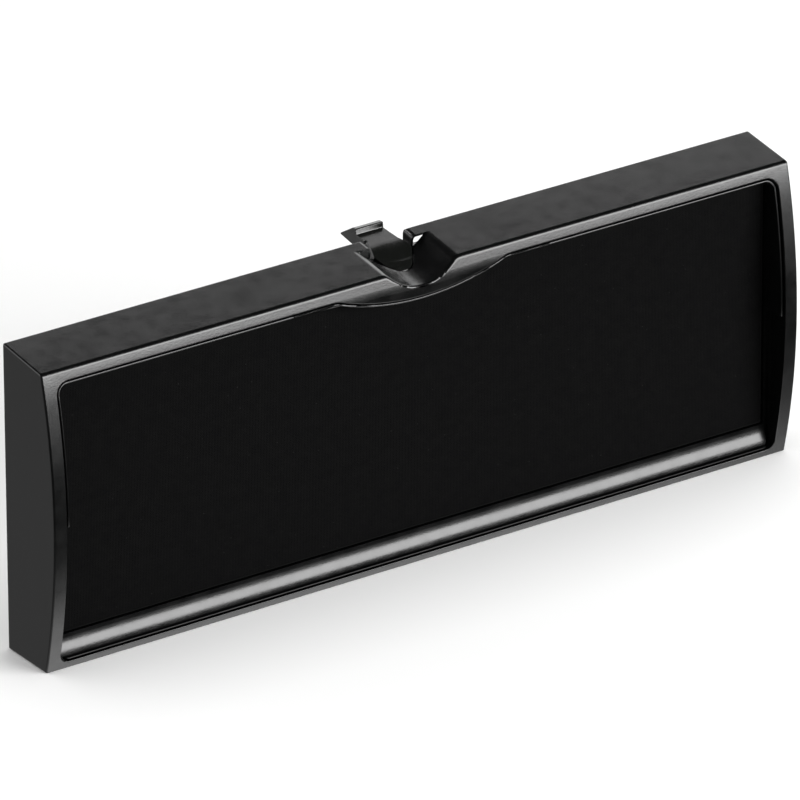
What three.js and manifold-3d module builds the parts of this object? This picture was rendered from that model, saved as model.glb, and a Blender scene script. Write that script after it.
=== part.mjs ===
// Latching ink pad cassette: a bow-fronted plastic frame holds a cloth-faced ink pad in a shallow
// tray, with a sponge behind it, and clips in place by a sprung thumb latch at the top centre.
// Millimetres. X runs along the cassette, Z is up and the pad faces -Y. Inside the pieces, y = 0 is
// the cassette's rear plane. The group moves them so that the origin is under the middle of the box.
import * as THREE from 'three';
import { mergeVertices } from 'three/addons/utils/BufferGeometryUtils.js';
import Module from 'manifold-3d';

const wasm = await Module();
wasm.setup();

// ---------------------------------------------------------------- driving dimensions
const length = 176;
const rearHeight = 65.2;
const edgeDepth = 13.56;        // rear plane to the front's top and bottom edges
const bow = 3.9;                // how far the front stands proud at mid height
const topFall = 1.72;           // the top is this much lower at the front edge
const latchReach = 9.8;         // rear plane to the tip of the hook
const gap = 0.3;                // between pieces that touch
const past = 1;                 // how far a cutting tool runs past what it cuts
const far = 100;                // beyond the whole cassette

// frame and its opening
const sideWall = 1.8;
const bottomWall = 1.2;
const topWall = 1.6;
const rimRear = -11.7;          // back of the solid front rim
const openingHalf = 85.02;
const openingBottom = 1.45;
const openingTop = 61.15;
const openingRadiusLow = 2.2;
const openingRadiusHigh = 2.8;
const dipBottom = 57.43;        // the opening's top edge dips under the thumb notch
const dipRadius = 55.6;
const dipBlend = 6;
const chinTop = 61.3;           // under here the front below the notch curves down to hang straight
const chinRadius = 9.6;
const chinLean = -1.5;          // degrees from upright
const chinHalf = 30;

// thumb notch, a U-shaped channel that runs back parallel to the top
const notchBottom = 59.6;       // at the front edge
const notchRadius = 10.5;
const notchHalf = 7.27;         // where the U's round bottom meets its shoulders
const shoulderRadius = 2.5;
const notchLead = 8;            // how far the notch's tool starts in front of the front edge
const skim = 0.02;              // the tool's shoulders end this far under its flat sides
const troughHalf = 11;
const troughUnder = 58.5;
const troughSkin = 0.4;         // the trough's block ends this far under the top
const strapDepth = 3;           // strip left across the notch at the rear
const strapThickness = 0.5;
const strapHalf = 14;           // it runs on into the notch's sides
const slotHalf = 4.8;           // the latch passes through a slot in the strip
const lugRadius = 1.05;         // the strip's ends bend down on both sides of the slot
const lugLength = 2.9;          // from the top down to the end of a lug
const pocketHalf = 10.6;        // hollow behind and under the strip
const pocketLow = 61.6;
const earRoomHalf = 5.75;
const windowTop = 64;
const postRadius = 1.9;         // posts that hold the latch bracket
const postSunk = 0.5;
const postHole = 1;
const postHoleEnd = 0.3;        // material left over the post's screw hole

// tray and pad
const trayHalf = 85.9;
const trayBottom = 1.5;
const trayTop = 61.6;
const trayFront = -11.3;
const trayRear = -7.9;
const trayFloor = 1;
const trayCorner = 1;
const scoopRadius = 5.7;
const scoopTop = 6;
const scoopLip = 2;             // height of the scoop's front lip
const ribInset = 0.4;           // slot between the frame and the tray's thin rib
const ribThickness = 0.42;
const coverClear = 0.4;         // between the trough and the pieces cut out round it
const clothThickness = 0.55;
const padFit = 0.05;            // from the pad to the scoop and the rib
const feltInset = 0.2;          // the felt is smaller than the cloth all round
const wickX = [-45, 0, 45];
const wickHalf = 12;
const wickLow = 28;
const wickHigh = 31;
const spongeHalf = 66;
const spongeLow = 9;
const spongeHigh = 50;
const spongeRadius = 3;

// rear cover and its screws
const coverThickness = 1.7;
const coverTop = 63;
const coverCorner = 0.8;
const coverNotchCorner = 0.5;
const panelHalf = 70;           // shallow panel in the cover's outside
const panelLow = 13;
const panelHigh = 52;
const panelRadius = 3;
const panelDepth = 0.5;
const bossRadius = 2.9;
const bossFront = -7.6;
const bossSkin = 0.8;           // material left at the end of a boss's hole
const screwX = 83.4;
const screwLow = 3.9;
const screwHigh = 60.6;
const screwMidLow = 30;
const screwMidHigh = 24;
const coverScrews = [
  [-screwX, screwLow], [screwX, screwLow], [-screwX, screwHigh], [screwX, screwHigh],
  [-screwMidLow, screwLow], [screwMidLow, screwLow], [-screwMidHigh, screwHigh], [screwMidHigh, screwHigh],
];
const shankRadius = 0.75;
const shankLength = 5.4;
const headRadius = 1.6;
const headHeight = 0.8;
const headSunk = 0.1;           // screw heads lie this far below the cover's outside
const crownShare = 0.92;        // a head's flat crown and its skirt, as shares of its radius and height
const skirtShare = 0.6;
const recessArm = 0.6;          // cross recess, as shares of the head's radius and height
const recessSlit = 0.13;
const recessDepth = 0.6;
const pressX = 72;              // posts that press the tray forward
const pressRows = [14, 48];
const pressRadius = 2;
const pressSunk = 0.5;

// latch
const pivotY = -6.1;
const pivotZ = 56.6;
const pinRadius = 0.6;
const pinHole = 0.78;
const knuckleRadius = 1.4;
const knuckleHalf = 3.7;
const tabTip = -8;
const tabWide = -3.6;           // where the round tab reaches its full width
const tabHalf = 4.4;
const neckHalf = 3.45;          // the plate's half width where it leaves the notch
const neckY = -0.3;
const tailHalf = 3.2;           // and at the hook
const tailY = 4.35;
const latchRise = [             // the latch's top from the tab's tip over the hook to its end, in (y, z)
  [tabTip, 60.5], [-7, 60.85], [-6, 61.3], [-5, 61.95], [-4, 62.6], [-3.2, 63.1], [-2.5, 63.45],
  [-1.2, 63.72], [tailY, 64.3], [4.45, 65.25], [4.65, 65.45], [5.6, 65.4], [latchReach, 62.8],
];
const plateThickness = 1;
const hookThickness = 0.4;
const hookRootY = 5;
const hookRootZ = 63.6;
const plateEnd = 9;             // how many of the points above belong to the tab and plate
const flangeInside = 2.55;      // the plate's turned-down sides start this far from its middle
const flangeFoot = [[5.8, 61.7], [0.3, 62], [0, 60.2], [-3.4, 60.4], [-4.4, 61.5]];
const legHalf = 1.2;            // the leg down to the pin
const legFront = -6.9;
const legRear = -5.3;
const legTop = 60.8;
const earHalf = 5.3;            // ears that stop the latch under the lugs
const earInside = 2.6;
const earFront = -1.8;
const earRear = -0.6;
const earLow = 60.5;
const earHigh = 61.5;
const reliefInside = 2.75;      // small relief in the plate's left side
const reliefFront = 0.9;
const reliefRear = 1.8;
const reliefLow = 63.5;
const tabGap = 0.42;
const bracketHalf = 9.6;
const bracketFront = -7.5;
const bracketRear = -2.2;
const bracketLow = 53.2;
const bracketBase = 1.2;
const bracketEarInside = 4.1;
const bracketEarWidth = 1;
const bracketEarRear = -4.7;
const bracketEarTop = 58.1;
const bracketEarSunk = 0.2;
const bracketScrewX = 7.7;
const bracketScrewY = -4.85;
const bracketShankRadius = 0.7;
const bracketShankLength = 4.9;
const bracketHeadRadius = 1.4;
const pinHalf = 5.1;
const springY = -3.2;
const springRadius = 1;
const wireRadius = 0.2;
const springTurns = 6;
const springTop = 60.1;

// ---------------------------------------------------------------- shape helpers
const topAt = (y) => rearHeight + topFall * y / edgeDepth;
const frontTop = rearHeight - topFall;
const bowRadius = ((frontTop / 2) ** 2 + bow ** 2) / (2 * bow);
const axesX = new THREE.Matrix4().makeBasis(
  new THREE.Vector3(0, 1, 0), new THREE.Vector3(0, 0, 1), new THREE.Vector3(1, 0, 0));
const axesY = new THREE.Matrix4().makeBasis(
  new THREE.Vector3(1, 0, 0), new THREE.Vector3(0, 0, 1), new THREE.Vector3(0, -1, 0));

// A closed geometry as a manifold-3d solid.
function solid(geometry) {
  const g = geometry.clone();
  for (const name of ['normal', 'uv']) g.deleteAttribute(name);
  const merged = mergeVertices(g, 1e-4);
  return new wasm.Manifold(new wasm.Mesh({
    numProp: 3,
    vertProperties: new Float32Array(merged.attributes.position.array),
    triVerts: new Uint32Array(merged.index.array),
  }));
}

// A manifold-3d solid as a geometry.
function geometryOf(body) {
  const m = body.getMesh();
  const g = new THREE.BufferGeometry();
  g.setAttribute('position', new THREE.BufferAttribute(m.vertProperties, 3));
  g.setIndex(new THREE.BufferAttribute(m.triVerts, 1));
  g.computeVertexNormals();
  return g;
}

const union = (...bodies) => bodies.reduce((a, b) => a.add(b));

function box(x0, x1, y0, y1, z0, z1) {
  const g = new THREE.BoxGeometry(x1 - x0, y1 - y0, z1 - z0);
  return solid(g.translate((x0 + x1) / 2, (y0 + y1) / 2, (z0 + z1) / 2));
}

// Points round a polygon whose corners are [u, v, radius]; a corner with no radius stays sharp.
function rounded(corners) {
  const out = [];
  corners.forEach(([u, v, r = 0], i) => {
    const here = new THREE.Vector2(u, v);
    if (r <= 0) {
      out.push(here);
      return;
    }
    const [pu, pv] = corners[(i + corners.length - 1) % corners.length];
    const [nu, nv] = corners[(i + 1) % corners.length];
    const back = new THREE.Vector2(pu - u, pv - v).normalize();
    const ahead = new THREE.Vector2(nu - u, nv - v).normalize();
    const half = Math.acos(THREE.MathUtils.clamp(back.dot(ahead), -1, 1)) / 2;
    const centre = here.clone().addScaledVector(back.clone().add(ahead).normalize(), r / Math.sin(half));
    const from = here.clone().addScaledVector(back, r / Math.tan(half)).sub(centre);
    const turn = (Math.PI - 2 * half) * Math.sign(back.cross(from));
    const steps = Math.max(2, Math.ceil(Math.abs(turn) / 0.3));
    for (let k = 0; k <= steps; k += 1) {
      out.push(from.clone().rotateAround(new THREE.Vector2(), turn * k / steps).add(centre));
    }
  });
  return out;
}

// A prism along X whose section is in (y, z), along Y whose section is in (x, z), or along Z in (x, y).
function prism(points, depth) {
  return new THREE.ExtrudeGeometry(new THREE.Shape(points), { depth, steps: 1, bevelEnabled: false });
}
const prismX = (points, x0, x1) => solid(prism(points, x1 - x0).applyMatrix4(axesX).translate(x0, 0, 0));
const prismY = (points, y0, y1) => solid(prism(points, y1 - y0).applyMatrix4(axesY).translate(0, y1, 0));
const prismZ = (points, z0, z1) => solid(prism(points, z1 - z0).translate(0, 0, z0));

function cylinder(radius, low, high, sides = 20) {
  return new THREE.CylinderGeometry(radius, radius, high - low, sides).translate(0, (low + high) / 2, 0);
}
const cylinderX = (y, z, r, x0, x1) => solid(cylinder(r, -x1, -x0).rotateZ(Math.PI / 2).translate(0, y, z));
const cylinderY = (x, z, r, y0, y1) => solid(cylinder(r, y0, y1).translate(x, 0, z));
const cylinderZ = (x, y, r, z0, z1) => solid(cylinder(r, z0, z1).rotateX(Math.PI / 2).translate(x, y, 0));

const vectors = (list) => list.map(([u, v]) => new THREE.Vector2(u, v));

// How far the bowed front stands forward of its edges at a height.
const standAt = (z) => Math.sqrt(bowRadius ** 2 - (z - frontTop / 2) ** 2) - (bowRadius - bow);

// Points on the bowed front from the bottom edge to the top edge, moved back by a setback.
function bowPoints(setback, steps = 24) {
  const points = [];
  for (let k = 0; k <= steps; k += 1) {
    const z = frontTop * k / steps;
    points.push([setback - edgeDepth - standAt(z), z]);
  }
  return points;
}

// What is cut off in front of the chin under the notch: it leaves the bow on a small radius and then
// hangs almost straight, moved back by a setback.
function chinTool(setback) {
  const start = Math.asin((chinTop - frontTop / 2) / bowRadius);
  const end = THREE.MathUtils.degToRad(chinLean);
  const y = setback - edgeDepth - standAt(chinTop) + chinRadius * Math.cos(start);
  const z = chinTop - chinRadius * Math.sin(start);
  const points = [];
  const steps = 8;
  for (let k = 0; k <= steps; k += 1) {
    const a = start + (end - start) * k / steps;
    points.push([y - chinRadius * Math.cos(a), z + chinRadius * Math.sin(a)]);
  }
  const [lastY, lastZ] = points[steps];
  const drop = lastZ - dipBottom + past;
  points.push([lastY - drop * Math.tan(end), lastZ - drop], [-far, lastZ - drop], [-far, chinTop]);
  return prismX(vectors(points), -chinHalf, chinHalf);
}

// The frame's opening, in (x, z), drawn smaller by an inset.
function openingOutline(inset) {
  const half = openingHalf - inset;
  const top = openingTop - inset;
  const low = openingBottom + inset;
  const centre = dipBottom + dipRadius;
  const radius = dipRadius + inset;
  const reach = Math.sqrt(radius ** 2 - (centre - top) ** 2);
  const steps = 14;
  const dip = [];
  for (let k = 1; k < steps; k += 1) {
    const x = reach * (1 - 2 * k / steps);
    dip.push([x, centre - Math.sqrt(radius ** 2 - x ** 2)]);
  }
  return rounded([
    [-half, low, openingRadiusLow - inset], [half, low, openingRadiusLow - inset],
    [half, top, openingRadiusHigh - inset], [reach, top, dipBlend], ...dip,
    [-reach, top, dipBlend], [-half, top, openingRadiusHigh - inset],
  ]);
}

// ---------------------------------------------------------------- frame
// The thumb notch as a solid: a round bottom, soft shoulders and open above, tilted with the top.
function notchTool(rear) {
  const arc = Math.asin(notchHalf / notchRadius);
  const foot = notchBottom + notchRadius;
  const shoulderX = notchHalf + shoulderRadius * Math.sin(arc);
  const shoulderZ = foot - notchRadius * Math.cos(arc) - shoulderRadius * Math.cos(arc);
  const bottom = [];
  const side = [];
  const steps = 12;
  for (let k = -steps / 2; k <= steps / 2; k += 1) {
    const a = arc * k / (steps / 2);
    bottom.push([notchRadius * Math.sin(a), foot - notchRadius * Math.cos(a)]);
  }
  const turns = 5;
  for (let k = 1; k <= turns; k += 1) {
    const a = arc * (1 - k / turns);
    side.push([shoulderX - shoulderRadius * Math.sin(a), shoulderZ + shoulderRadius * Math.cos(a)]);
  }
  const wide = troughHalf + 2 * past;
  const crest = shoulderZ + shoulderRadius;
  const points = vectors([
    ...bottom, ...side,
    [wide, crest + skim], [wide, crest + far], [-wide, crest + far], [-wide, crest + skim],
    ...side.toReversed().map(([x, z]) => [-x, z]),
  ]);
  const tool = prismY(points, -notchLead, edgeDepth + rear);
  return ontoTop(tool.translate([0, 0, -crest]));
}

// Moves a solid drawn under z = 0 and behind y = 0 to the sloping top and its front edge.
function ontoTop(body) {
  const tilt = THREE.MathUtils.radToDeg(Math.atan(topFall / edgeDepth));
  return body.rotate([tilt, 0, 0]).translate([0, -edgeDepth, frontTop]);
}

// The thin strip at the rear of the notch, in two halves that bend down into the lugs.
function strap() {
  const bend = slotHalf + lugRadius;
  const inner = lugRadius - strapThickness;
  const turns = 6;
  const arc = (radius) => Array.from({ length: turns + 1 }, (_, k) => {
    const a = Math.PI / 2 * (1 + k / turns);
    return [bend + radius * Math.cos(a), -lugRadius + radius * Math.sin(a)];
  });
  const half = [
    [strapHalf, past], [bend, past], ...arc(lugRadius),
    [slotHalf, -lugLength], [slotHalf + strapThickness, -lugLength],
    ...arc(inner).reverse(), [strapHalf, -strapThickness],
  ];
  const front = edgeDepth - strapDepth;
  const right = prismY(vectors(half), front, edgeDepth + past);
  return ontoTop(right.add(right.mirror([1, 0, 0])));
}

// The latch's outline seen from above, in (x, y), grown by a margin: a round tip and a narrow tail.
function latchOutline(margin, rear) {
  const steps = 10;
  const side = [];
  for (let k = 1; k <= steps; k += 1) {
    const s = k / steps;
    side.push([(tabHalf + margin) * s, tabTip - margin + (tabWide - tabTip + margin) * s * s]);
  }
  const tail = [[neckHalf, neckY], [tailHalf, tailY], [tailHalf, rear]].filter(([, y]) => y <= rear);
  const right = [...side, ...tail.map(([x, y]) => [x + margin, y])];
  const left = right.map(([x, y]) => [-x, y]).reverse();
  return vectors([[0, tabTip - margin], ...right, ...left]);
}

function frontHousing() {
  const half = length / 2;
  const shell = prismX(vectors([[0, 0], [0, rearHeight], ...bowPoints(0).reverse()]), -half, half);
  const inner = half - sideWall;
  const cavity = prismX(vectors([
    [rimRear, bottomWall], [past, bottomWall],
    [past, topAt(past) - topWall], [rimRear, topAt(rimRear) - topWall],
  ]), -inner, inner);
  const troughFront = rimRear - past;
  const trough = prismX(vectors([
    [troughFront, troughUnder], [0, troughUnder], [0, rearHeight - troughSkin],
    [troughFront, topAt(troughFront) - troughSkin],
  ]), -troughHalf, troughHalf);
  const bosses = coverScrews.map(([x, z]) => cylinderY(x, z, bossRadius, bossFront, -coverThickness - gap));
  const postX = [-bracketScrewX, bracketScrewX];
  const postFoot = bracketLow + bracketBase + gap;
  const posts = postX.map((x) => cylinderZ(x, bracketScrewY, postRadius, postFoot, troughUnder + postSunk));

  const opening = prismY(openingOutline(0), -edgeDepth - bow - past, rimRear + past);
  const pocket = box(-pocketHalf, pocketHalf, -strapDepth, past, pocketLow, rearHeight);
  const earRoom = box(-earRoomHalf, earRoomHalf, -strapDepth, past, troughUnder - past, rearHeight);
  const window = prismZ(latchOutline(tabGap, past), troughUnder - past, windowTop);
  const holes = coverScrews.map(([x, z]) => cylinderY(x, z, shankRadius + gap, bossFront + bossSkin, past));
  const postHoles = postX.map((x) => cylinderZ(
    x, bracketScrewY, postHole, postFoot - past, troughUnder - postHoleEnd));

  return union(shell.subtract(cavity), trough, ...bosses, ...posts)
    .subtract(opening)
    .subtract(chinTool(0))
    .subtract(union(notchTool(past), pocket, earRoom, window).subtract(strap()))
    .subtract(union(...holes, ...postHoles));
}

// ---------------------------------------------------------------- tray, pad and ink store
// Everything in front of the tray plate stays inside the opening and behind the bowed front.
function padTray() {
  const under = troughUnder - coverClear;
  const side = troughHalf + coverClear;
  const outline = [
    [-trayHalf, trayBottom, trayCorner], [trayHalf, trayBottom, trayCorner], [trayHalf, trayTop, trayCorner],
    [side, trayTop], [side, under], [-side, under], [-side, trayTop], [-trayHalf, trayTop, trayCorner],
  ];
  const plate = prismY(rounded(outline), trayFront, trayRear);
  const lipAngle = Math.asin((scoopTop - scoopLip) / scoopRadius);
  const scoop = [];
  const steps = 12;
  for (let k = 0; k <= steps; k += 1) {
    const a = lipAngle * k / steps;
    scoop.push([trayFront - scoopRadius * (1 - Math.cos(a)), scoopTop - scoopRadius * Math.sin(a)]);
  }
  const front = -edgeDepth - bow;
  const ridge = prismX(vectors([
    [trayFront + past, scoopTop], ...scoop, [front, scoopLip], [front, 0], [trayFront + past, 0],
  ]), -openingHalf, openingHalf);
  const ribLow = frontTop / 2;
  const ribTop = box(-openingHalf, openingHalf, front, trayFront + past, ribLow, openingTop + past);
  const ribInner = openingOutline(ribInset + ribThickness);
  const rib = ribTop.subtract(prismY(ribInner, front - past, trayFront + 2 * past));
  const reach = prismX(vectors([
    ...bowPoints(ribInset), [trayFront + 2 * past, frontTop], [trayFront + 2 * past, 0],
  ]), -openingHalf, openingHalf);
  const inside = prismY(openingOutline(ribInset), front - past, trayFront + past / 2);
  const pocket = prismY(padOutline(0), trayFront - past, trayRear - trayFloor);
  const slotHalfWide = wickHalf + gap;
  const slotFront = trayRear - 2 * trayFloor;
  const slots = wickX.map((x) => box(
    x - slotHalfWide, x + slotHalfWide, slotFront, trayRear + past, wickLow - gap, wickHigh + gap));
  return plate.add(ridge.add(rib).intersect(reach).intersect(inside).subtract(chinTool(ribInset)))
    .subtract(pocket)
    .subtract(union(...slots));
}

// The pad's outline in (x, z): the opening's inside the rib, cut off above the scoop.
function padOutline(inset) {
  const low = scoopTop + padFit + inset;
  const edge = openingOutline(ribInset + ribThickness + padFit + inset).filter((p) => p.y > low + trayCorner);
  const half = Math.max(...edge.map((p) => p.x));
  return [...vectors([[-half, low], [half, low]]), ...edge];
}

function padCloth() {
  return prismY(padOutline(gap), trayFront, trayFront + clothThickness);
}

function padFelt() {
  return prismY(padOutline(gap + feltInset), trayFront + clothThickness + gap, trayRear - trayFloor - gap);
}

function wick(x) {
  return box(x - wickHalf, x + wickHalf, trayRear - trayFloor, trayRear, wickLow, wickHigh);
}

function reservoirSponge() {
  const corners = [
    [-spongeHalf, spongeLow, spongeRadius], [spongeHalf, spongeLow, spongeRadius],
    [spongeHalf, spongeHigh, spongeRadius], [-spongeHalf, spongeHigh, spongeRadius],
  ];
  return prismY(rounded(corners), trayRear + gap, -coverThickness - gap);
}

// ---------------------------------------------------------------- rear cover and screws
function rearCover() {
  const under = troughUnder - coverClear;
  const side = troughHalf + coverClear;
  const plate = prismY(rounded([
    [-trayHalf, trayBottom, coverCorner], [trayHalf, trayBottom, coverCorner],
    [trayHalf, coverTop, coverCorner], [side, coverTop], [side, under, coverNotchCorner],
    [-side, under, coverNotchCorner], [-side, coverTop], [-trayHalf, coverTop, coverCorner],
  ]), -coverThickness, 0);
  const posts = [];
  for (const z of pressRows) {
    for (const x of [-pressX, pressX]) {
      posts.push(cylinderY(x, z, pressRadius, trayRear + gap, -coverThickness + pressSunk));
    }
  }
  const cuts = [];
  for (const [x, z] of coverScrews) {
    cuts.push(cylinderY(x, z, shankRadius + gap, -coverThickness - past, past));
    cuts.push(cylinderY(x, z, headRadius + gap, -headHeight - gap - headSunk, past));
  }
  const panel = prismY(rounded([
    [-panelHalf, panelLow, panelRadius], [panelHalf, panelLow, panelRadius],
    [panelHalf, panelHigh, panelRadius], [-panelHalf, panelHigh, panelRadius],
  ]), -panelDepth, past);
  return union(plate, ...posts).subtract(union(...cuts, panel));
}

// A pan-head screw with a cross recess. Its axis is Z, the head is on top and its seat is at z = 0.
function screw(shank, radius, head) {
  const arm = head * recessArm;
  const slit = head * recessSlit;
  const floor = headHeight * (1 - recessDepth);
  return cylinderZ(0, 0, radius, -shank, floor / 2)
    .add(cylinderZ(0, 0, head * crownShare, floor, headHeight))
    .add(cylinderZ(0, 0, head, 0, headHeight * skirtShare))
    .subtract(box(-arm, arm, -slit, slit, floor, headHeight + past))
    .subtract(box(-slit, slit, -arm, arm, floor, headHeight + past));
}

function coverScrew(x, z) {
  return screw(shankLength, shankRadius, headRadius)
    .rotate([-90, 0, 0])
    .translate([x, -headHeight - headSunk, z]);
}

function bracketScrew(x) {
  return screw(bracketShankLength, bracketShankRadius, bracketHeadRadius)
    .rotate([180, 0, 0])
    .translate([x, bracketScrewY, bracketLow - gap]);
}

// ---------------------------------------------------------------- latch
function latchLever() {
  const under = [
    [latchReach, latchRise.at(-1)[1] - hookThickness], [hookRootY, hookRootZ],
    ...latchRise.slice(0, plateEnd).reverse().map(([y, z]) => [y, z - plateThickness]),
  ];
  const plan = prismZ(latchOutline(0, latchReach), 0, far);
  const sheet = prismX(vectors([...latchRise, ...under]), -bracketHalf, bracketHalf);
  const flange = prismX(vectors([
    ...latchRise.slice(1), [latchReach, latchRise.at(-1)[1] - hookThickness], ...flangeFoot,
  ]), -bracketHalf, bracketHalf).subtract(box(-flangeInside, flangeInside, -far, far, 0, far));
  const leg = box(-legHalf, legHalf, legFront, legRear, pivotZ, legTop);
  const knuckle = cylinderX(pivotY, pivotZ, knuckleRadius, -knuckleHalf, knuckleHalf);
  const ears = box(-earHalf, earHalf, earFront, earRear, earLow, earHigh)
    .subtract(box(-earInside, earInside, -far, far, 0, far));
  const relief = box(-far, -reliefInside, reliefFront, reliefRear, reliefLow, far);
  return union(sheet.intersect(plan), flange.intersect(plan), leg, knuckle, ears)
    .subtract(relief)
    .subtract(cylinderX(pivotY, pivotZ, pinHole, -bracketHalf, bracketHalf));
}

function latchBracket() {
  const top = bracketLow + bracketBase;
  const base = box(-bracketHalf, bracketHalf, bracketFront, bracketRear, bracketLow, top);
  const ears = [-bracketEarInside - bracketEarWidth, bracketEarInside].map((x) => box(
    x, x + bracketEarWidth, bracketFront, bracketEarRear, top - bracketEarSunk, bracketEarTop));
  const holes = [-bracketScrewX, bracketScrewX].map((x) => cylinderZ(
    x, bracketScrewY, postHole, bracketLow - past, top + past));
  return union(base, ...ears).subtract(union(...holes, cylinderX(pivotY, pivotZ, pinHole, -far, far)));
}

function latchPin() {
  return cylinderX(pivotY, pivotZ, pinRadius, -pinHalf, pinHalf);
}

class Helix extends THREE.Curve {
  constructor(radius, low, high, turns) {
    super();
    Object.assign(this, { radius, low, high, turns });
  }

  getPoint(t, target = new THREE.Vector3()) {
    const a = t * this.turns * 2 * Math.PI;
    const z = this.low + (this.high - this.low) * t;
    return target.set(this.radius * Math.cos(a), this.radius * Math.sin(a), z);
  }
}

function latchSpring() {
  const ring = new THREE.Shape();
  ring.absarc(0, 0, wireRadius, 0, 2 * Math.PI, false);
  const low = bracketLow + bracketBase + gap + wireRadius;
  const high = springTop - wireRadius;
  const path = new Helix(springRadius, low, high, springTurns);
  const options = { steps: springTurns * 12, curveSegments: 3, bevelEnabled: false, extrudePath: path };
  return solid(new THREE.ExtrudeGeometry(ring, options).translate(0, springY, 0));
}

// ---------------------------------------------------------------- assembly
const plastic = { color: 0x1b1c1c, roughness: 0.45, metalness: 0 };
const gloss = { color: 0x202322, roughness: 0.25, metalness: 0 };
const cloth = { color: 0x08080a, roughness: 0.95, metalness: 0 };
const felt = { color: 0x141416, roughness: 1, metalness: 0 };
const foam = { color: 0x222226, roughness: 1, metalness: 0 };
const steel = { color: 0xb4b6b8, roughness: 0.35, metalness: 1 };

const group = new THREE.Group();
group.position.y = (edgeDepth + bow - latchReach) / 2;

function place(name, body, look) {
  const mesh = new THREE.Mesh(geometryOf(body), new THREE.MeshStandardMaterial(look));
  mesh.name = name;
  group.add(mesh);
}

place('front_housing', frontHousing(), plastic);
place('pad_tray', padTray(), gloss);
place('pad_cloth', padCloth(), cloth);
place('pad_felt', padFelt(), felt);
['left', 'center', 'right'].forEach((side, i) => place(`wick_${side}`, wick(wickX[i]), felt));
place('reservoir_sponge', reservoirSponge(), foam);
place('rear_cover', rearCover(), plastic);
coverScrews.forEach(([x, z], i) => place(`cover_screw_${i + 1}`, coverScrew(x, z), steel));
place('latch_lever', latchLever(), gloss);
place('latch_pin', latchPin(), steel);
place('latch_spring', latchSpring(), steel);
place('latch_bracket', latchBracket(), plastic);
place('bracket_screw_left', bracketScrew(-bracketScrewX), steel);
place('bracket_screw_right', bracketScrew(bracketScrewX), steel);

export default group;
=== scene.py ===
import math
from collections import namedtuple

import bmesh
import bpy
import numpy as np
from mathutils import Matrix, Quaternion, Vector, noise


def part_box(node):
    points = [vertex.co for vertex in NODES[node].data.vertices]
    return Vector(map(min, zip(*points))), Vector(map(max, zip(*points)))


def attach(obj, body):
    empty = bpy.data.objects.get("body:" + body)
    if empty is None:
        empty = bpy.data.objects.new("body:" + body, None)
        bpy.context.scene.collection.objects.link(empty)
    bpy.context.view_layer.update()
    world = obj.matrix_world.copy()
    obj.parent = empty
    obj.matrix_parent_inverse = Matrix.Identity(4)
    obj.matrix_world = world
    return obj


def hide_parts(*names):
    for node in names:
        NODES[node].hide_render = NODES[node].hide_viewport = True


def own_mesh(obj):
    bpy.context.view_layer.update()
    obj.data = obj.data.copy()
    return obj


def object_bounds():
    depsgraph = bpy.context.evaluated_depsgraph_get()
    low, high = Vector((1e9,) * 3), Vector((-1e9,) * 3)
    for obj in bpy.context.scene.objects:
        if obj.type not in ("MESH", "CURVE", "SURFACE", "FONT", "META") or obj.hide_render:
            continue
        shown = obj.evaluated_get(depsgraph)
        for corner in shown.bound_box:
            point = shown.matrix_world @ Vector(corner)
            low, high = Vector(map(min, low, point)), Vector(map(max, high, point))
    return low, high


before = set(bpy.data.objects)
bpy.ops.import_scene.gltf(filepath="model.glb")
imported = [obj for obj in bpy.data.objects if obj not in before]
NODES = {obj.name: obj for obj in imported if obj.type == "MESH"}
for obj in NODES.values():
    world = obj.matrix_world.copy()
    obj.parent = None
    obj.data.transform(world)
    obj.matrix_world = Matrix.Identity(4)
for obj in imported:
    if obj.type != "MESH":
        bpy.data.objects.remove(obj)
cad_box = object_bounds()

# An ink pad cassette stood on its long edge: satin black frame, glossy tray and latch, inked cloth pad.
# The moulded pieces are the CAD nodes with rounded edges; the soft pieces and the spring are built here.
# Lengths are metres; MM turns millimetres into metres.
MM = 0.001
BODY, LATCH = "cassette", "latch"

# ---------------------------------------------------------------- camera and studio
VIEW_AZIMUTH, VIEW_ELEVATION, VIEW_ROLL = -34.3, 25.16, 0.22
VIEW_DISTANCE = 2.29
VIEW_LENS, SENSOR_WIDTH = 525.3, 36.0
VIEW_SIDE, VIEW_RISE = 3.32 * MM, -3.18 * MM
VIEW_CENTRE = Vector((0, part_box("front_housing")[1].y, 33 * MM))

# Each light panel: direction (azimuth, elevation), distance, width, height, radiance.
SOFTBOX = ((33, 15.5), 1.2, 1.0, 0.66, 11.0)
SPILL = ((30, -8), 1.3, 1.2, 0.26, 0.7)
TABLE_CARD = ((20, -58), 0.32, 0.34, 0.16, 1.65)
OVERHEAD = ((0, 88), 1.5, 1.6, 1.6, 2.2)
FLOOR_SIZE, FLOOR_CLOUD = 30.0, 0.4
FLOOR_DARK, FLOOR_LIGHT = (0.9, 0.9, 0.895), (0.93, 0.93, 0.928)


def direction(azimuth, elevation):
    """The unit vector towards a place round the object: azimuth 0 is in front, 90 at +X."""
    a, e = math.radians(azimuth), math.radians(elevation)
    return Vector((math.sin(a) * math.cos(e), -math.cos(a) * math.cos(e), math.sin(e)))


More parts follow.
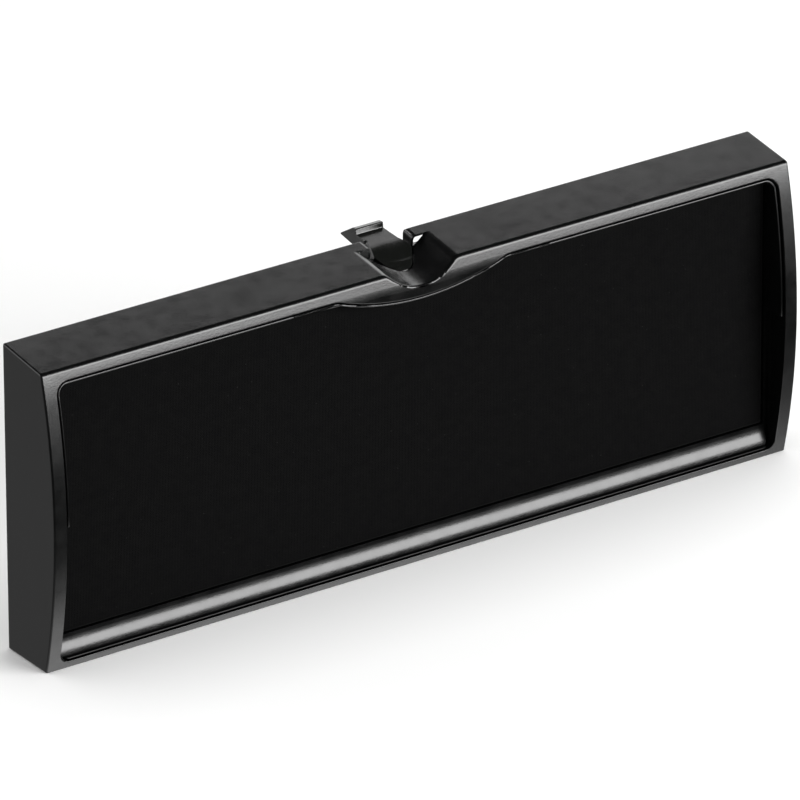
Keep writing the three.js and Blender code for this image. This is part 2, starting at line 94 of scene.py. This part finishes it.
def add_camera():
    back = direction(VIEW_AZIMUTH, VIEW_ELEVATION)
    right = Vector((0, 0, 1)).cross(back).normalized()
    up = back.cross(right)
    data = bpy.data.cameras.new("camera")
    data.lens, data.sensor_width = VIEW_LENS, SENSOR_WIDTH
    camera = bpy.data.objects.new("camera", data)
    bpy.context.scene.collection.objects.link(camera)
    camera.location = VIEW_CENTRE + right * VIEW_SIDE + up * VIEW_RISE + back * VIEW_DISTANCE
    camera.rotation_mode = "QUATERNION"
    roll = Quaternion((0, 0, 1), -math.radians(VIEW_ROLL))
    camera.rotation_quaternion = (-back).to_track_quat("-Z", "Y") @ roll
    bpy.context.scene.camera = camera


def add_panel(name, panel, glossy=True):
    """A rectangular light that faces the object, as bright as its radiance says."""
    (azimuth, elevation), distance, width, height, radiance = panel
    towards = direction(azimuth, elevation)
    data = bpy.data.lights.new(name, "AREA")
    data.shape, data.size, data.size_y = "RECTANGLE", width, height
    data.energy = radiance * math.pi * width * height
    lamp = bpy.data.objects.new(name, data)
    bpy.context.scene.collection.objects.link(lamp)
    lamp.location = VIEW_CENTRE + towards * distance
    lamp.rotation_mode = "QUATERNION"
    lamp.rotation_quaternion = (-towards).to_track_quat("-Z", "Y")
    lamp.visible_camera = False
    lamp.visible_glossy = glossy


# The room as the gloss sees it: (height of the direction, brightness) in front and behind.
ROOM_FRONT = [(-1.0, 1.0), (-0.72, 1.0), (-0.6, 0.4), (-0.5, 0.04), (-0.3, 0.02), (0.0, 0.2),
              (0.6, 0.1), (0.8, 0.03)]
ROOM_BACK = [(-1.0, 0.33), (-0.3, 0.33), (0.0, 1.1), (0.3, 2.0), (0.49, 2.3), (0.535, 1.2), (0.56, 0.2),
             (0.6, 0.06), (1.0, 0.02)]
ROOM_GAIN = 2.0
ROOM_BLEND = (-0.1, 0.3)     # depth of the direction over which the front becomes the back
ROOM_SEEN = (0.47, 0.47, 0.468)     # what the camera sees past the floor


def add_room():
    world = bpy.data.worlds.new("room")
    bpy.context.scene.world = world
    world.use_nodes = True
    tree = world.node_tree
    tree.nodes.clear()
    out = tree.nodes.new("ShaderNodeOutputWorld")
    back = tree.nodes.new("ShaderNodeBackground")
    coord = tree.nodes.new("ShaderNodeTexCoord")
    split = tree.nodes.new("ShaderNodeSeparateXYZ")
    tree.links.new(coord.outputs["Generated"], split.inputs[0])
    ramps = []
    height = tree.nodes.new("ShaderNodeMapRange")
    height.inputs["From Min"].default_value = -1
    tree.links.new(split.outputs["Z"], height.inputs["Value"])
    for stops in (ROOM_FRONT, ROOM_BACK):
        ramp = tree.nodes.new("ShaderNodeValToRGB")
        line = ramp.color_ramp
        while len(line.elements) < len(stops):
            line.elements.new(0.5)
        for element, (z, value) in zip(line.elements, stops):
            element.position = (z + 1) / 2
            grey = value / ROOM_GAIN
            element.color = (grey, grey, grey, 1)
        tree.links.new(height.outputs["Result"], ramp.inputs["Fac"])
        ramps.append(ramp)
    side = tree.nodes.new("ShaderNodeMapRange")
    side.inputs["From Min"].default_value, side.inputs["From Max"].default_value = ROOM_BLEND
    tree.links.new(split.outputs["Y"], side.inputs["Value"])
    mix = tree.nodes.new("ShaderNodeMix")
    mix.data_type = "RGBA"
    tree.links.new(side.outputs["Result"], mix.inputs["Factor"])
    tree.links.new(ramps[0].outputs["Color"], mix.inputs["A"])
    tree.links.new(ramps[1].outputs["Color"], mix.inputs["B"])
    path = tree.nodes.new("ShaderNodeLightPath")
    seen = tree.nodes.new("ShaderNodeMix")
    seen.data_type = "RGBA"
    tree.links.new(path.outputs["Is Camera Ray"], seen.inputs["Factor"])
    tree.links.new(mix.outputs["Result"], seen.inputs["A"])
    seen.inputs["B"].default_value = (*ROOM_SEEN, 1)
    back.inputs["Strength"].default_value = ROOM_GAIN
    tree.links.new(seen.outputs["Result"], back.inputs["Color"])
    tree.links.new(back.outputs["Background"], out.inputs["Surface"])


def add_floor():
    half = FLOOR_SIZE / 2
    mesh = bpy.data.meshes.new("floor")
    corners = [(-half, -half, 0), (half, -half, 0), (half, half, 0), (-half, half, 0)]
    mesh.from_pydata(corners, [], [(0, 1, 2, 3)])
    floor = bpy.data.objects.new("floor", mesh)
    bpy.context.scene.collection.objects.link(floor)
    paint = Surface("floor_paint", {"Roughness": 0.9, "Specular IOR Level": 0.1})
    shade = paint.noise(paint.place, FLOOR_CLOUD, detail=2)
    paint.colour(paint.mix(shade, FLOOR_DARK, FLOOR_LIGHT))
    mesh.materials.append(paint.material)
    floor.visible_glossy = False
    floor.visible_shadow = False


# ---------------------------------------------------------------- surfaces
SPECK_CORE = 0.6            # the solid middle of a speck, as a share of its width
CLOUD_SIZE, WEAR_SIZE = 14 * MM, 3 * MM
DUST_CELL, DUST_SHARE, DUST_PATCH, DUST_AMOUNT = 1.9 * MM, 0.09, 5 * MM, 0.3
DUST_GREY, LINT_GREY = (0.04, 0.04, 0.039), (0.03, 0.03, 0.029)
LINT_CELL, LINT_SHARE, LINT_AMOUNT = 2.4 * MM, 0.055, 0.4
THREAD = 0.36 * MM
INK_DARK, INK_LIGHT = (0.0011, 0.0011, 0.0012), (0.0018, 0.0018, 0.0018)
ZINC_DARK, ZINC_LIGHT = (0.46, 0.46, 0.45), (0.62, 0.62, 0.63)


class Surface:
    """A node material built one step at a time on the Principled shader."""

    def __init__(self, name, settings):
        self.material = bpy.data.materials.new(name)
        self.material.use_nodes = True
        self.tree = self.material.node_tree
        self.shader = self.tree.nodes["Principled BSDF"]
        for socket, value in settings.items():
            self.shader.inputs[socket].default_value = value
        self.place = self.tree.nodes.new("ShaderNodeTexCoord").outputs["Object"]

    def node(self, kind, inputs, **settings):
        made = self.tree.nodes.new(kind)
        for key, value in settings.items():
            setattr(made, key, value)
        for key, value in inputs.items():
            if isinstance(value, bpy.types.NodeSocket):
                self.tree.links.new(value, made.inputs[key])
            else:
                made.inputs[key].default_value = value
        return made

    def noise(self, where, size, detail=3.0, roughness=0.5):
        """Noise whose blobs are about this size."""
        return self.node("ShaderNodeTexNoise", {
            "Vector": where, "Scale": 1 / size, "Detail": detail, "Roughness": roughness}).outputs["Fac"]

    def ramp(self, value, low, high, start=0.0, end=1.0):
        """The value's stretch from low to high, spread over start to end."""
        return self.node("ShaderNodeMapRange", {
            "Value": value, "From Min": low, "From Max": high,
            "To Min": start, "To Max": end}).outputs["Result"]

    def mix(self, factor, a, b):
        made = self.node("ShaderNodeMix", {"Factor": factor}, data_type="RGBA")
        for key, value in (("A", a), ("B", b)):
            socket = [s for s in made.inputs if s.name == key and s.type == "RGBA"][0]
            if isinstance(value, bpy.types.NodeSocket):
                self.tree.links.new(value, socket)
            else:
                socket.default_value = (*value, 1)
        return [s for s in made.outputs if s.type == "RGBA"][0]

    def maths(self, operation, a, b):
        return self.node("ShaderNodeMath", {0: a, 1: b}, operation=operation).outputs["Value"]

    def specks(self, size, share):
        """Small dots, one to a cell of this size, as wide as this share of it."""
        cells = self.node("ShaderNodeTexVoronoi", {"Vector": self.place, "Scale": 1 / size})
        return self.ramp(cells.outputs["Distance"], share, share * SPECK_CORE)

    def colour(self, socket):
        self.tree.links.new(socket, self.shader.inputs["Base Color"])

    def roughness(self, socket):
        self.tree.links.new(socket, self.shader.inputs["Roughness"])

    def relief(self, layers):
        """Bump from (height, depth) layers, coarse first; depth is in metres."""
        normal = None
        for height, depth in layers:
            inputs = {"Height": height, "Distance": depth}
            if normal:
                inputs["Normal"] = normal
            normal = self.node("ShaderNodeBump", inputs).outputs["Normal"]
        self.tree.links.new(normal, self.shader.inputs["Normal"])


def moulded(name, dark, light, roughness, grain, depth, level=0.5):
    """Moulded black plastic: spark-eroded grain, faint clouding and a few dusty specks."""
    s = Surface(name, {"Specular IOR Level": level, "IOR": 1.5})
    cloud = s.noise(s.place, CLOUD_SIZE, detail=4)
    specks = s.specks(DUST_CELL, DUST_SHARE)
    dust = s.maths("MULTIPLY", specks, s.ramp(s.noise(s.place, DUST_PATCH), 0.5, 0.6))
    base = s.mix(s.ramp(cloud, 0.3, 0.7), dark, light)
    s.colour(s.mix(s.maths("MULTIPLY", dust, DUST_AMOUNT), base, DUST_GREY))
    wear = s.noise(s.place, WEAR_SIZE, detail=5)
    s.roughness(s.ramp(wear, 0.3, 0.7, roughness - 0.04, roughness + 0.05))
    s.relief([
        (s.noise(s.place, grain, detail=2), depth),
        (s.noise(s.place, grain * 0.38, detail=2), depth * 0.35),
    ])
    return s.material


def woven(name):
    """Ink-soaked cotton: a plain weave with uneven threads and a little lint."""
    s = Surface(name, {"Specular IOR Level": 0.05, "Sheen Weight": 0.01, "Sheen Roughness": 0.4})
    wobble = s.noise(s.place, 2.5 * MM, detail=2)
    across, along = (s.node("ShaderNodeTexWave", {
        "Vector": s.place, "Scale": 1 / THREAD / 3.14, "Distortion": 0.6,
        "Detail": 2.0, "Detail Scale": 2.0}, bands_direction=axis) for axis in "XZ")
    weave = s.maths("MAXIMUM", across.outputs["Fac"], along.outputs["Fac"])
    lint = s.specks(LINT_CELL, LINT_SHARE)
    damp = s.mix(s.ramp(wobble, 0.3, 0.7), INK_DARK, INK_LIGHT)
    s.colour(s.mix(s.maths("MULTIPLY", lint, LINT_AMOUNT), damp, LINT_GREY))
    s.roughness(s.ramp(weave, 0, 1, 0.95, 0.8))
    s.relief([(wobble, 0.03 * MM), (weave, 0.05 * MM)])
    return s.material


def fibrous(name, dark, light, size):
    """Pressed felt or open foam, from its colours and the size of its fibres or cells."""
    s = Surface(name, {"Roughness": 1.0, "Specular IOR Level": 0.1})
    cells = s.node("ShaderNodeTexVoronoi", {"Vector": s.place, "Scale": 1 / size}).outputs["Distance"]
    tangle = s.noise(s.place, size * 2, detail=6, roughness=0.7)
    s.colour(s.mix(s.ramp(tangle, 0.3, 0.7), dark, light))
    s.roughness(s.ramp(tangle, 0.3, 0.7, 0.85, 1.0))
    s.relief([(tangle, size * 0.5), (cells, size * 0.4)])
    return s.material


def metal(name):
    """Bright zinc-plated steel with fine turning marks."""
    s = Surface(name, {"Metallic": 1.0})
    mottle = s.noise(s.place, 0.9 * MM, detail=4)
    s.colour(s.mix(s.ramp(mottle, 0.3, 0.7), ZINC_DARK, ZINC_LIGHT))
    s.roughness(s.ramp(mottle, 0.3, 0.7, 0.24, 0.4))
    s.relief([(s.noise(s.place, 0.12 * MM, detail=3), 0.003 * MM)])
    return s.material


# ---------------------------------------------------------------- moulded pieces
WELD = 0.002 * MM
FLAT, SHARP, ROUND_FROM = math.radians(0.3), math.radians(28), math.radians(30)
NORMAL_WEIGHT = 60

# Places and radii of the rounded edges, in millimetres.
NEAR = 0.01
END, REAR = cad_box[1].x / MM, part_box("front_housing")[1].y / MM
FRONT_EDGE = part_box("front_housing")[0].y / MM + 4.5
CLOTH_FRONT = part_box("pad_cloth")[0].y / MM
TOP_FROM, BROW_FROM, NOTCH_FROM, NOTCH_HALF = 64.9, 62.5, 59, 12
SCOOP_TO, LEVER_FROM = 10, 60
END_RADIUS, TOP_RADIUS, BROW_RADIUS = 0.45, 0.45, 0.72
NOTCH_RADIUS, RIM_RADIUS = 0.45, 0.22
FOOT_FRONT_RADIUS, FOOT_REAR_RADIUS = 0.2, 0.3
SCOOP_RADIUS, RIB_RADIUS = 0.2, 0.19
COVER_RADIUS, LEVER_RADIUS = 0.25, 0.12
LENGTHWISE = 0.9            # how much of an edge's direction lies along X
LEVER_SHORTEST = 0.4 * MM   # shorter edges of the latch stay crisp

# A sharp edge: its middle in millimetres, its direction, and its length in metres.
Edge = namedtuple("Edge", "at along length")


def smooth(mesh):
    mesh.polygons.foreach_set("use_smooth", [True] * len(mesh.polygons))


def round_edges(piece, width, segments, method):
    bevel = piece.modifiers.new("round", "BEVEL")
    bevel.width, bevel.segments = width, segments
    bevel.limit_method, bevel.angle_limit = method, ROUND_FROM
    bevel.use_clamp_overlap = False
    bevel.miter_outer = "MITER_ARC"
    normals = piece.modifiers.new("normals", "WEIGHTED_NORMAL")
    normals.weight, normals.keep_sharp = NORMAL_WEIGHT, True


def dress(node, material, edge, segments=3):
    """Gives a CAD node its material, and rounds its edges by modifiers, which leave its mesh as it is."""
    piece = NODES[node]
    mesh = piece.data
    mesh.materials.clear()
    mesh.materials.append(material)
    for name in ("custom_normal", "sharp_face", "sharp_edge"):
        if name in mesh.attributes:
            mesh.attributes.remove(mesh.attributes[name])
    smooth(mesh)
    weld = piece.modifiers.new("weld", "WELD")
    weld.merge_threshold = WELD
    flat = piece.modifiers.new("flat", "DECIMATE")
    flat.decimate_type, flat.angle_limit = "DISSOLVE", FLAT
    round_edges(piece, edge, segments, "ANGLE")


def refined(name, node, material, slot, radius_of, widest, segments=4, body=BODY):
    """Stands for a CAD node: the same faces, welded and merged, with each sharp edge rounded by the radius
    that radius_of gives it, in millimetres, and left crisp where that is 0."""
    bm = bmesh.new()
    bm.from_mesh(NODES[node].data)
    bmesh.ops.remove_doubles(bm, verts=bm.verts, dist=WELD)
    bmesh.ops.dissolve_limit(bm, angle_limit=FLAT, verts=bm.verts, edges=bm.edges)
    weight = bm.edges.layers.float.new("bevel_weight_edge")
    for edge in bm.edges:
        if not edge.is_manifold or edge.calc_face_angle() < SHARP:
            continue
        one, two = (v.co / MM for v in edge.verts)
        radius = radius_of(Edge((one + two) / 2, (two - one).normalized(), edge.calc_length()))
        edge[weight] = radius / widest
        edge.smooth = radius > 0
    mesh = bpy.data.meshes.new(name)
    bm.to_mesh(mesh)
    bm.free()
    piece = new_piece(name, mesh, material, slot, body, node)
    round_edges(piece, widest * MM, segments, "WEIGHT")


def housing_radius(edge):
    at = edge.at
    if abs(at.x) > END - NEAR:
        return END_RADIUS
    if at.z < NEAR:
        return FOOT_FRONT_RADIUS if at.y < 0 else FOOT_REAR_RADIUS
    if at.y > REAR - NEAR and at.z > TOP_FROM and abs(edge.along.x) > LENGTHWISE:
        return TOP_RADIUS
    if at.y < FRONT_EDGE:
        if at.z > BROW_FROM:
            return BROW_RADIUS
        return NOTCH_RADIUS if at.z > NOTCH_FROM and abs(at.x) < NOTCH_HALF else RIM_RADIUS
    return 0


def tray_radius(edge):
    if edge.at.y < CLOTH_FRONT - 0.05:
        return SCOOP_RADIUS if edge.at.z < SCOOP_TO else RIB_RADIUS
    return 0


def lever_radius(edge):
    return LEVER_RADIUS if edge.length > LEVER_SHORTEST and edge.at.z > LEVER_FROM else 0


def cover_radius(edge):
    at = edge.at
    low, high = (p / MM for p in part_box("rear_cover"))
    rim = abs(at.x) > high.x - NEAR or at.z < low.z + NEAR or at.z > high.z - NEAR
    return COVER_RADIUS if rim and at.y > high.y - NEAR else 0


# ---------------------------------------------------------------- soft pieces
CROWDING = 0.3              # how far a pad's grid is drawn towards its edges
SWELL_REACH, RIPPLE_SIZE = 12 * MM, 9 * MM
PIT_SPREAD = 1.6            # width of a block's pits, in grid steps
CLOSED_PITCH = 1.7          # rise of the spring's end turns, in wire radii


def new_piece(name, mesh, material, slot, body, *nodes):
    piece = bpy.data.objects.new(name, mesh)
    bpy.context.scene.collection.objects.link(piece)
    mesh.materials.append(material)
    smooth(mesh)
    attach(piece, body)
    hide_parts(*nodes)
    return piece


def edge_lines(node):
    """A pad node's lower edge height, and its upper edge as lists of x and z, from its front face."""
    low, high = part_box(node)
    points = [v.co for v in NODES[node].data.vertices if v.co.y < low.y + 0.01 * MM]
    middle = (low.z + high.z) / 2
    upper = {}
    for p in points:
        if p.z > middle:
            key = round(p.x, 6)
            upper[key] = max(upper.get(key, 0), p.z)
    xs = sorted(upper)
    return low.z, xs, [upper[x] for x in xs]


def place(k, n):
    """How far along a pad its k-th of n grid lines lies: closer together near the edges."""
    eased = 0.5 - 0.5 * math.cos(math.pi * (k / n))
    return CROWDING * eased + (1 - CROWDING) * k / n


def pad_sheet(name, node, step, roll, crown, ripple, seed):
    """A closed pad of the node's outline: its front edge rolls back, and its face is softly uneven."""
    low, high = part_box(node)
    bottom, xs, tops = edge_lines(node)
    columns = round((high.x - low.x) / step)
    rows = round((high.z - low.z) / step)
    mesh = bpy.data.meshes.new(name)
    bm = bmesh.new()
    grid = []
    for i in range(columns + 1):
        x = low.x + (high.x - low.x) * place(i, columns)
        top = float(np.interp(x, xs, tops))
        line = []
        for j in range(rows + 1):
            z = bottom + (top - bottom) * place(j, rows)
            near = max(min(x - low.x, high.x - x, z - bottom, top - z), 0)
            fall = roll * (1 - math.sqrt(1 - (1 - min(near / roll, 1)) ** 2))
            swell = crown * min(near / SWELL_REACH, 1) ** 0.5
            wave = ripple * noise.noise(Vector((x, seed, z)) / RIPPLE_SIZE)
            line.append(bm.verts.new((x, low.y + crown + ripple + fall - swell + wave, z)))
        grid.append(line)
    for i in range(columns):
        for j in range(rows):
            bm.faces.new((grid[i][j], grid[i + 1][j], grid[i + 1][j + 1], grid[i][j + 1]))
    rim = [grid[i][0] for i in range(columns)] + [grid[columns][j] for j in range(rows)]
    rim += [grid[i][rows] for i in range(columns, 0, -1)] + [grid[0][j] for j in range(rows, 0, -1)]
    back = [bm.verts.new((v.co.x, high.y, v.co.z)) for v in rim]
    for k in range(len(rim)):
        following = (k + 1) % len(rim)
        bm.faces.new((rim[following], rim[k], back[k], back[following]))
    bm.faces.new(back)
    bmesh.ops.recalc_face_normals(bm, faces=bm.faces)
    bm.to_mesh(mesh)
    bm.free()
    return mesh


def soft_block(name, node, step, radius, pitting, seed):
    """A block of felt or foam that fills a node's box, with rounded edges and a pitted skin."""
    low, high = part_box(node)
    radius = min(radius, *((high - low) / 2.2))
    mesh = bpy.data.meshes.new(name)
    bm = bmesh.new()
    bmesh.ops.create_cube(bm, size=1.0)
    for axis in range(3):
        cuts = max(int((high[axis] - low[axis]) / step), 3)
        lines = [e for e in bm.edges if abs((e.verts[0].co - e.verts[1].co)[axis]) > 0.9]
        bmesh.ops.subdivide_edges(bm, edges=lines, cuts=cuts, use_grid_fill=True)
    for v in bm.verts:
        p = Vector([low[k] + (v.co[k] + 0.5) * (high[k] - low[k]) for k in range(3)])
        core = Vector([min(max(p[k], low[k] + radius), high[k] - radius) for k in range(3)])
        out = p - core
        if out.length > 1e-9:
            out.normalize()
            dent = pitting * (0.5 + 0.5 * noise.noise((p + Vector((seed, 0, 0))) / (PIT_SPREAD * step)))
            p = core + out * (radius - dent)
        v.co = p
    bmesh.ops.recalc_face_normals(bm, faces=bm.faces)
    bm.to_mesh(mesh)
    bm.free()
    return mesh


def coil(name, node, wire, turns, sides=10, steps=24):
    """A compression spring that fills its node's box, with a closed turn at each end."""
    low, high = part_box(node)
    centre = (low + high) / 2
    radius = (high.x - low.x) / 2 - wire
    bottom, top = low.z + wire, high.z - wire
    total = turns + 2
    mesh = bpy.data.meshes.new(name)
    bm = bmesh.new()
    rings = []
    count = total * steps
    for k in range(count + 1):
        turn = k / steps
        free = min(max(turn - 1, 0), turns) / turns
        closed = min(turn, 1) + max(turn - 1 - turns, 0)
        ends = 2 * CLOSED_PITCH * wire
        z = bottom + closed * wire * CLOSED_PITCH + free * (top - bottom - ends)
        angle = 2 * math.pi * turn
        radial = Vector((math.cos(angle), math.sin(angle), 0))
        middle = Vector((centre.x, centre.y, z)) + radial * radius
        rings.append([
            bm.verts.new(middle + wire * (radial * math.cos(b) + Vector((0, 0, math.sin(b)))))
            for b in (2 * math.pi * n / sides for n in range(sides))
        ])
    for one, two in zip(rings, rings[1:]):
        for n in range(sides):
            m = (n + 1) % sides
            bm.faces.new((one[n], one[m], two[m], two[n]))
    bm.faces.new(rings[0])
    bm.faces.new(rings[-1])
    bmesh.ops.recalc_face_normals(bm, faces=bm.faces)
    bm.to_mesh(mesh)
    bm.free()
    return mesh


# ---------------------------------------------------------------- the object
BLACK = (0.0010, 0.0011, 0.0011)
HOUSING = moulded("housing_plastic", BLACK, (0.0015, 0.0016, 0.0016), 0.22, 0.30 * MM, 0.012 * MM)
TRAY = moulded("tray_plastic", BLACK, (0.0016, 0.0017, 0.0017), 0.21, 0.26 * MM, 0.009 * MM)
COVER = moulded(
    "cover_plastic", (0.0040, 0.0041, 0.0041), (0.0060, 0.0062, 0.0061), 0.50, 0.40 * MM, 0.022 * MM)
LEVER = moulded(
    "latch_plastic", (0.0024, 0.0028, 0.0023), (0.0034, 0.0039, 0.0032), 0.20, 0.22 * MM, 0.004 * MM,
    level=1.0)
CLOTH = woven("inked_cloth")
FELT = fibrous("felt", (0.006, 0.006, 0.0065), (0.014, 0.014, 0.015), 0.5 * MM)
FOAM = fibrous("foam", (0.010, 0.010, 0.012), (0.022, 0.022, 0.026), 0.9 * MM)
STEEL = metal("steel")


def build_plastic():
    refined("frame_moulding", "front_housing", HOUSING, "housing_plastic", housing_radius, BROW_RADIUS)
    refined("tray_moulding", "pad_tray", TRAY, "tray_plastic", tray_radius, SCOOP_RADIUS, segments=3)
    refined("back_cover", "rear_cover", COVER, "cover_plastic", cover_radius, COVER_RADIUS)
    refined("thumb_latch", "latch_lever", LEVER, "latch_plastic", lever_radius, LEVER_RADIUS,
            segments=3, body=LATCH)
    dress("latch_bracket", COVER, 0.15 * MM)


def build_steel():
    dress("latch_pin", STEEL, 0.1 * MM)
    for node in NODES:
        if "screw" in node:
            dress(node, STEEL, 0.06 * MM, segments=2)


def build_pad():
    face = pad_sheet("pad_face", "pad_cloth", 0.9 * MM, 0.3 * MM, 0.04 * MM, 0.02 * MM, 3)
    cloth = new_piece("pad_face", face, CLOTH, "pad_cloth", BODY, "pad_cloth")
    core = pad_sheet("felt_core", "pad_felt", 1.6 * MM, 0.3 * MM, 0.03 * MM, 0.03 * MM, 8)
    felt = new_piece("felt_core", core, FELT, "felt", BODY, "pad_felt")
    for seed, side in enumerate(("left", "center", "right")):
        node, name = f"wick_{side}", f"wick_strip_{side}"
        strip = soft_block(name, node, 0.5 * MM, 0.3 * MM, 0.08 * MM, seed)
        new_piece(name, strip, FELT, "felt", BODY, node)
    block = soft_block("ink_sponge", "reservoir_sponge", 1.1 * MM, 1.2 * MM, 0.3 * MM, 7)
    sponge = new_piece("ink_sponge", block, FOAM, "sponge", BODY, "reservoir_sponge")


def build_spring():
    turns = coil("return_spring", "latch_spring", 0.2 * MM, 5)
    spring = new_piece("return_spring", turns, STEEL, "steel", BODY, "latch_spring")
    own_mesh(spring)


build_plastic()
build_steel()
build_pad()
build_spring()
add_floor()
add_room()
add_panel("softbox", SOFTBOX)
add_panel("spill", SPILL)
add_panel("table_card", TABLE_CARD)
add_panel("overhead_fill", OVERHEAD, glossy=False)
add_camera()
bpy.context.scene.view_settings.view_transform = "Standard"
